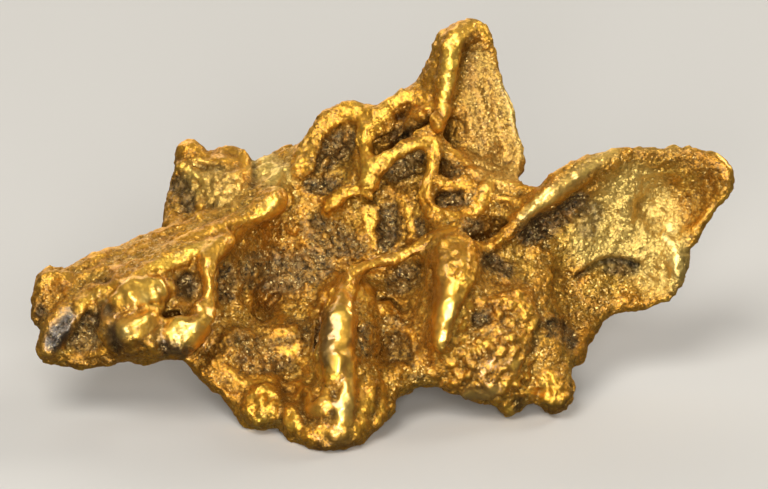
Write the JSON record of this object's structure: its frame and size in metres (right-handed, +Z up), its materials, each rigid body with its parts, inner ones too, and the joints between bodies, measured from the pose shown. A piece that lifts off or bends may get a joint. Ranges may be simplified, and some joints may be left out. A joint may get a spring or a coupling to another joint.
{
  "type": "gold nugget",
  "caption": "Ragged natural gold nugget with an upright spike, a curled side wing, a knobbly arm and netted ridges round dark hollows, standing on worn feet.",
  "frame": {"origin": "on the floor, under the middle of the nugget's length and depth", "axes": "+X along the nugget's length towards the curled wing, +Y from its broad face to its back, +Z up"},
  "size_m": [0.0282, 0.0136, 0.0135],
  "materials": {
    "native_gold": "polished on the raised ridges, dull and granular in the hollows"
  },
  "bodies": {
    "root": {"nugget": "native_gold"}
  },
  "joints": []
}
